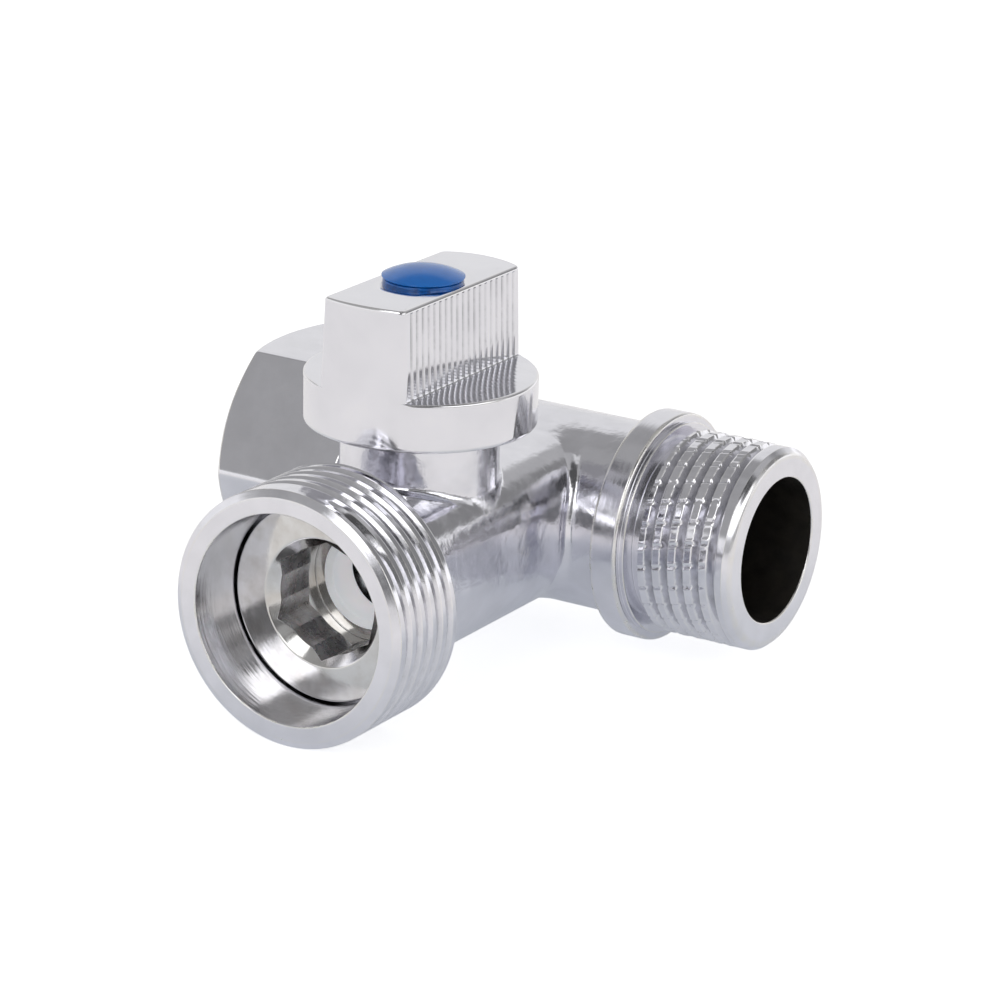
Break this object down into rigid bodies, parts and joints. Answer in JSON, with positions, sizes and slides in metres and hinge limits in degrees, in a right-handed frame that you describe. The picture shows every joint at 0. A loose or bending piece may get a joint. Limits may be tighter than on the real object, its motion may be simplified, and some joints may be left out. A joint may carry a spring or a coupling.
{
  "type": "appliance ball valve",
  "caption": "Chrome tee valve: a straight run with a hexagon female end and a male end, and a male side branch that a quarter-turn ball under a blade handle opens and shuts.",
  "frame": {"origin": "where the axis of the straight run meets the axis of the side branch", "axes": "+X along the run towards its male end, -Y along the branch towards its mouth, +Z along the stem towards the top of the handle"},
  "size_m": [0.0621, 0.0611, 0.044],
  "materials": {
    "body_chrome": "polished chrome plate on forged brass",
    "ball_chrome": "polished hard chrome",
    "retainer_nickel": "turned and plated",
    "handle_chrome": "polished chrome plate on a die casting",
    "stem_brass": "turned",
    "ptfe": "white PTFE",
    "seal_rubber": "black rubber",
    "screw_steel": "zinc plated",
    "cap_plastic": "glossy blue"
  },
  "bodies": {
    "valve_body": {"body": "body_chrome", "inner_seat": "ptfe", "outer_seat": "ptfe", "retainer": "retainer_nickel", "retainer_seal": "seal_rubber", "thrust_washer": "ptfe"},
    "handle_unit": {"stem": "stem_brass", "lower_stem_oring": "seal_rubber", "upper_stem_oring": "seal_rubber", "handle": "handle_chrome", "handle_screw": "screw_steel", "cap": "cap_plastic"},
    "ball_unit": {"ball": "ball_chrome"}
  },
  "joints": [
    {"name": "handle_turn", "type": "hinge", "parent": "valve_body", "child": "handle_unit", "pos_m": [0, -0.02354, 0], "axis": [0, 0, 1], "range_deg": [-90, 0]},
    {"name": "ball_turn", "type": "hinge", "parent": "valve_body", "child": "ball_unit", "pos_m": [0, -0.02354, 0], "axis": [0, 0, 1], "range_deg": [-90, 0]}
  ],
  "couplings": [
    {"joint": "ball_turn", "follows": "handle_turn", "ratio": 1}
  ]
}
